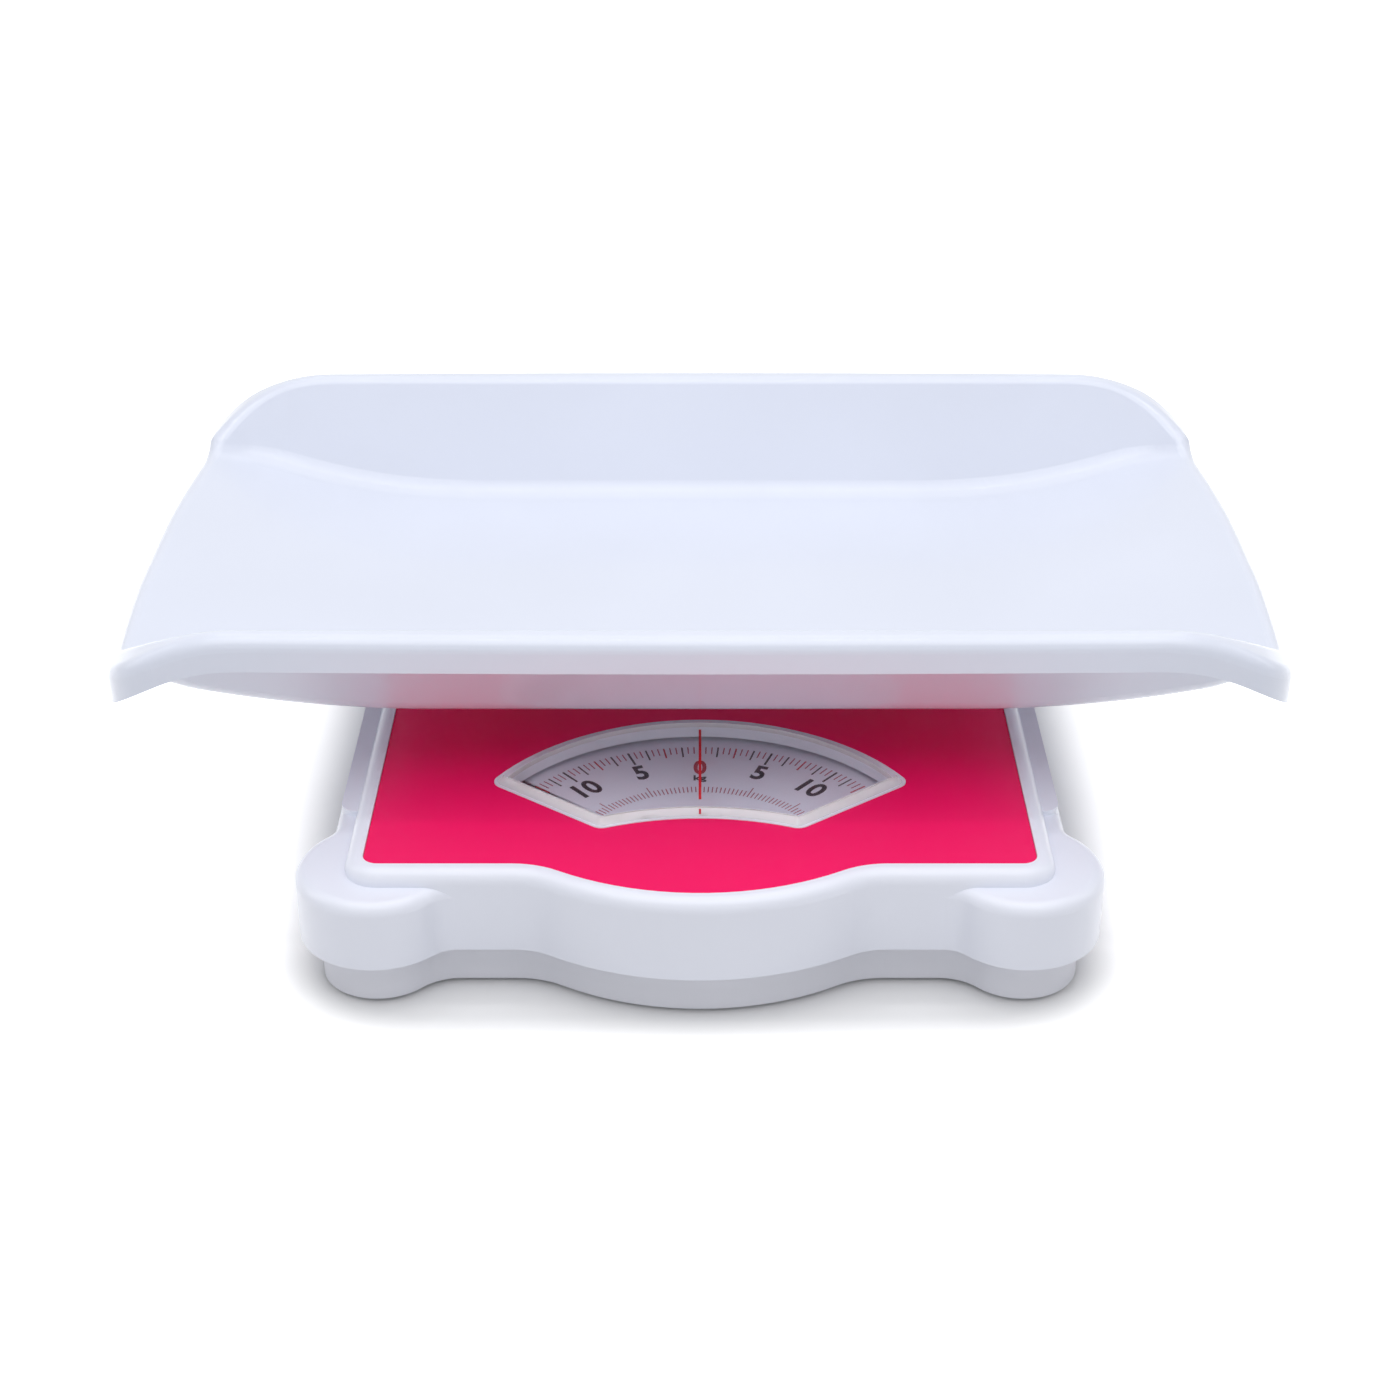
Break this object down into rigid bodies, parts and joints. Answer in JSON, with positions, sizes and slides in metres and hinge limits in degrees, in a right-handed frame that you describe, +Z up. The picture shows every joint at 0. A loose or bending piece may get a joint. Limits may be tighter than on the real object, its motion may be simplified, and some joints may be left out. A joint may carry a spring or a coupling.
{
  "type": "mechanical baby scale",
  "caption": "Mechanical baby scale: wide curved weighing tray on a low base with four round corner pods, front bulge, coloured top panel and a fan-shaped dial window.",
  "frame": {"origin": "on the floor, at the centre of the object's bounding box, with X = 0 in its plane of outer symmetry", "axes": "+Z up, -Y towards the person who reads the dial, +X to that person's right"},
  "size_m": [0.578, 0.4238, 0.158],
  "materials": {
    "tray_shell": "moulded white ABS, semi-gloss",
    "housing_shell": "moulded white ABS, semi-gloss",
    "pan_shell": "moulded pale grey ABS, semi-gloss",
    "label_sheet": "crimson printed plastic sheet, gloss",
    "lens_clear": "clear moulded acrylic",
    "pointer_red": "red moulded plastic",
    "dial_sheet": "white printed plastic sheet",
    "cradle_shell": "moulded white ABS",
    "foot_rubber": "black moulded rubber",
    "lever_steel": "pressed zinc-plated steel",
    "bracket_steel": "pressed zinc-plated steel",
    "spring_steel": "drawn spring steel wire",
    "acetal": "moulded natural acetal",
    "shaft_steel": "turned steel",
    "wheel_plastic": "moulded black plastic"
  },
  "bodies": {
    "base": {"base_pan": "pan_shell", "foot_front_left": "foot_rubber", "foot_front_right": "foot_rubber", "foot_rear_left": "foot_rubber", "foot_rear_right": "foot_rubber", "fulcrum_bracket_front_left": "bracket_steel", "fulcrum_bracket_front_right": "bracket_steel", "fulcrum_bracket_rear_left": "bracket_steel", "fulcrum_bracket_rear_right": "bracket_steel", "spring_bridge": "bracket_steel", "crank_bracket": "bracket_steel", "dial_post": "acetal", "rack_guide_front": "acetal", "rack_guide_rear": "acetal", "zero_nut": "acetal"},
    "platform": {"upper_housing": "housing_shell", "label_panel": "label_sheet", "window_lens": "lens_clear", "pointer_line": "pointer_red", "tray_cradle": "cradle_shell", "load_rail_left": "bracket_steel", "load_rail_right": "bracket_steel"},
    "tray": {"weighing_tray": "tray_shell"},
    "long_lever_left": {"long_lever_left": "lever_steel"},
    "long_lever_right": {"long_lever_right": "lever_steel"},
    "short_lever_left": {"short_lever_left": "lever_steel"},
    "short_lever_right": {"short_lever_right": "lever_steel"},
    "carriage": {"calibrating_plate": "lever_steel", "main_spring": "spring_steel"},
    "crank": {"bell_crank": "lever_steel"},
    "rack": {"rack_rod": "acetal"},
    "dial": {"dial_fan": "dial_sheet", "pinion": "acetal", "dial_shaft": "shaft_steel"},
    "zero_knob": {"zero_wheel": "wheel_plastic"}
  },
  "joints": [
    {"name": "dial_spin", "type": "hinge", "parent": "base", "child": "dial", "pos_m": [0, -0.1609, 0.0565], "axis": [0, 0, 1], "range_deg": [0, 50]},
    {"name": "platform_slide", "type": "slide", "parent": "base", "child": "platform", "axis": [0, 0, 1], "range_m": [-0.002, 0], "stiffness_N_per_m": 61000, "springref_m": 0.0004},
    {"name": "tray_lift", "type": "slide", "parent": "platform", "child": "tray", "axis": [0, 0, 1], "range_m": [0, 0.1]},
    {"name": "carriage_slide", "type": "slide", "parent": "base", "child": "carriage", "axis": [0, 0, 1], "range_m": [-0.00873, 0], "deforming": ["main_spring"]},
    {"name": "crank_turn", "type": "hinge", "parent": "base", "child": "crank", "pos_m": [0.01, -0.01807, 0.028], "axis": [1, 0, 0], "range_deg": [-22.74, 0]},
    {"name": "rack_slide", "type": "slide", "parent": "base", "child": "rack", "axis": [0, 1, 0], "range_m": [0, 0.00873]},
    {"name": "zero_turn", "type": "hinge", "parent": "base", "child": "zero_knob", "pos_m": [0, 0.1454, 0.014], "axis": [0, 1, 0], "range_deg": [-180, 180]},
    {"name": "long_lever_left_rock", "type": "hinge", "parent": "base", "child": "long_lever_left", "pos_m": [-0.14, -0.16, 0.022], "axis": [1, 0, 0], "range_deg": [-2.87, 0]},
    {"name": "short_lever_left_rock", "type": "hinge", "parent": "base", "child": "short_lever_left", "pos_m": [-0.14, 0.128, 0.022], "axis": [1, 0, 0], "range_deg": [0, 2.87]},
    {"name": "long_lever_right_rock", "type": "hinge", "parent": "base", "child": "long_lever_right", "pos_m": [0.14, -0.16, 0.022], "axis": [1, 0, 0], "range_deg": [-2.87, 0]},
    {"name": "short_lever_right_rock", "type": "hinge", "parent": "base", "child": "short_lever_right", "pos_m": [0.14, 0.128, 0.022], "axis": [1, 0, 0], "range_deg": [0, 2.87]}
  ],
  "couplings": [
    {"joint": "dial_spin", "follows": "platform_slide", "rad_per_m": -436.33},
    {"joint": "rack_slide", "follows": "platform_slide", "ratio": -4.3633},
    {"joint": "carriage_slide", "follows": "platform_slide", "ratio": 4.3633},
    {"joint": "crank_turn", "follows": "platform_slide", "rad_per_m": 198.33},
    {"joint": "long_lever_left_rock", "follows": "platform_slide", "rad_per_m": 25.01},
    {"joint": "long_lever_right_rock", "follows": "platform_slide", "rad_per_m": 25.01},
    {"joint": "short_lever_left_rock", "follows": "platform_slide", "rad_per_m": -25.01},
    {"joint": "short_lever_right_rock", "follows": "platform_slide", "rad_per_m": -25.01}
  ]
}
